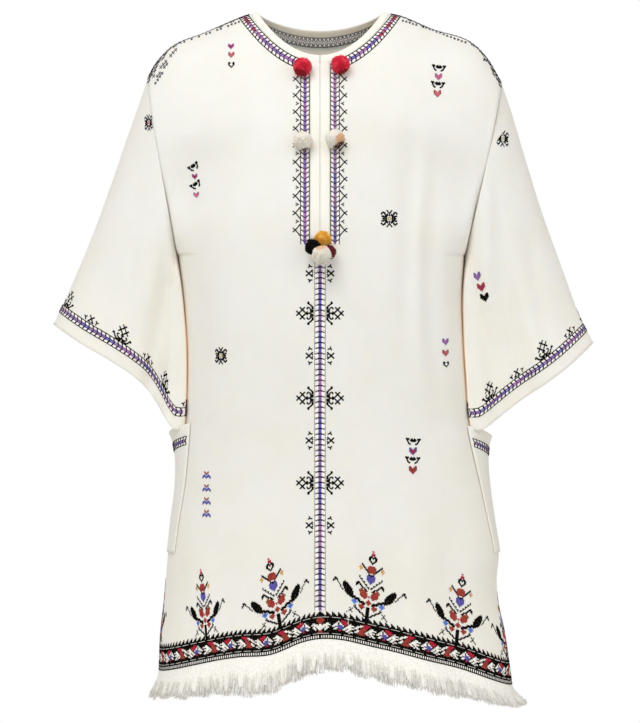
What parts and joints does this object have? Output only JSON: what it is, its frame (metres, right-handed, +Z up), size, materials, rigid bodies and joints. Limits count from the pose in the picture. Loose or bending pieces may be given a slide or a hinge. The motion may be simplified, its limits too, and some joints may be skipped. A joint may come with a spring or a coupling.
{
  "type": "mini dress",
  "caption": "Boxy short dress with wide dropped sleeves, a round neck with a slit, side patch pockets, embroidered trims, pompoms and a fringed hem, held open as worn.",
  "frame": {"origin": "middle of the neck opening, level with the neck ends of the shoulder seams, where the wearer's shoulders carry the dress", "axes": "+Z up, the front faces -Y, +X to the right as the front is seen"},
  "size_m": [0.6745, 0.3053, 0.8677],
  "materials": {
    "cream_cloth": "soft crepe",
    "cream_band": "soft crepe",
    "cream_yarn": "cut yarn",
    "red_yarn": "cut yarn",
    "dark_red_yarn": "cut yarn",
    "black_yarn": "cut yarn",
    "gold_yarn": "cut yarn"
  },
  "bodies": {
    "root": {"front": "cream_cloth", "back": "cream_cloth", "sleeve_left": "cream_cloth", "sleeve_right": "cream_cloth", "neckband": "cream_band", "placket_left": "cream_band", "placket_right": "cream_band", "pocket_left": "cream_cloth", "pocket_right": "cream_cloth", "fringe_front": "cream_yarn", "fringe_back": "cream_yarn", "pompom_neck_left": "red_yarn", "pompom_neck_right": "red_yarn", "pompom_middle_left": "cream_yarn", "pompom_middle_right": "cream_yarn", "pompom_foot_black": "black_yarn", "pompom_foot_dark_red": "dark_red_yarn", "pompom_foot_gold": "gold_yarn", "pompom_foot_cream": "cream_yarn"}
  },
  "joints": []
}
